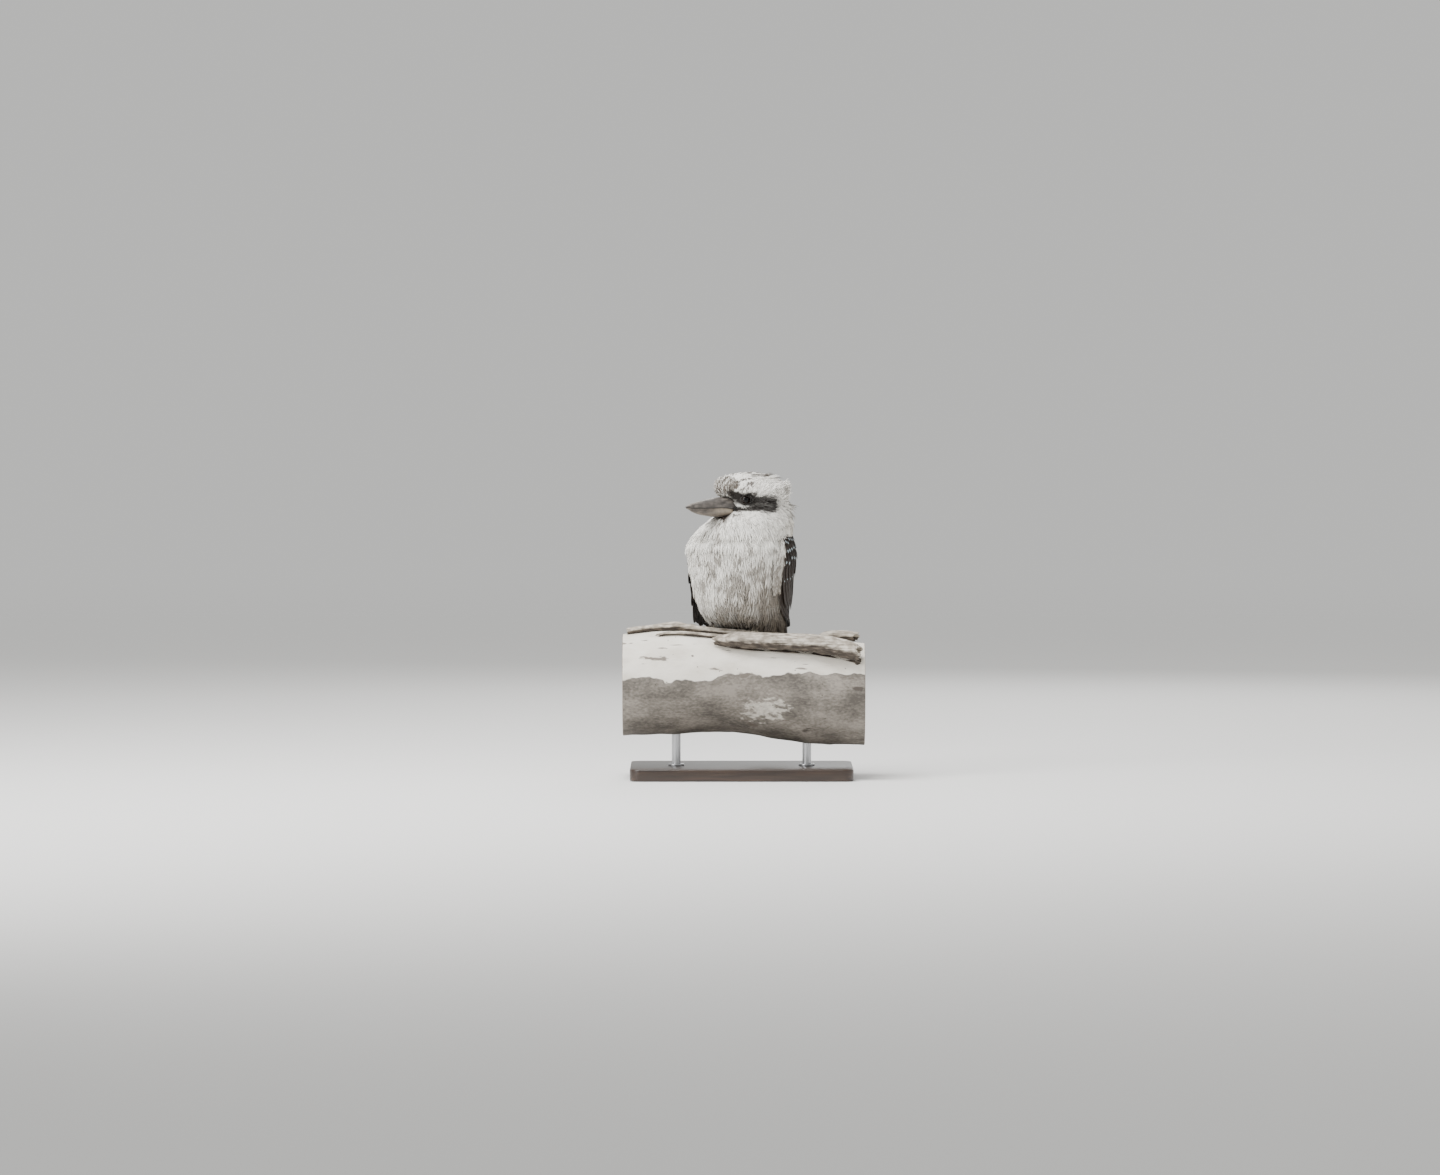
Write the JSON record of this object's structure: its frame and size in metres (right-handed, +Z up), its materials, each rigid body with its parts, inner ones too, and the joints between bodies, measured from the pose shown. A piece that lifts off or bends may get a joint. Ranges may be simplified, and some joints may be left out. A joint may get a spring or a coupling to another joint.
{
  "type": "laughing kookaburra display model",
  "caption": "Life-size laughing kookaburra, fluffed up with its head turned, gripping a short cut length of eucalyptus branch on a plain display stand.",
  "frame": {"origin": "middle of the stand base's underside, on the floor", "axes": "+Z up, -Y the side the bird's breast faces, so that +X is at the right of someone who looks at its breast; its chest is turned 20 degrees and its head 55 degrees towards -X"},
  "size_m": [0.326, 0.2446, 0.4132],
  "materials": {
    "breast_feathers": "soft body feathers, cream white with fine brown streaks",
    "wing_feathers": "dark brown wing feathers, coverts tipped pale blue",
    "tail_feathers": "rufous tail feathers with black bars and white tips",
    "bill_dark": "blackish horn, satin",
    "bill_pale": "pale horn, satin",
    "eye_dark": "dark brown glass eye, polished",
    "foot_skin": "scaled grey-olive skin",
    "smooth_bark": "smooth pale eucalyptus bark, grey below",
    "shed_bark": "rough peeled bark in rolls",
    "stand_wood": "dark stained and waxed hardwood",
    "stand_steel": "brushed"
  },
  "bodies": {
    "root": {"head": "breast_feathers", "neck": "breast_feathers", "torso": "breast_feathers", "bill_upper": "bill_dark", "bill_lower": "bill_pale", "eye_left": "eye_dark", "eye_right": "eye_dark", "wing_left": "wing_feathers", "wing_right": "wing_feathers", "tail": "tail_feathers", "leg_left": "foot_skin", "leg_right": "foot_skin", "perch_branch": "smooth_bark", "perch_bark_front": "shed_bark", "perch_bark_top": "shed_bark", "perch_bark_middle": "shed_bark", "perch_bark_rear": "shed_bark", "stand_base": "stand_wood", "stand_rod_left": "stand_steel", "stand_rod_right": "stand_steel"}
  },
  "joints": []
}
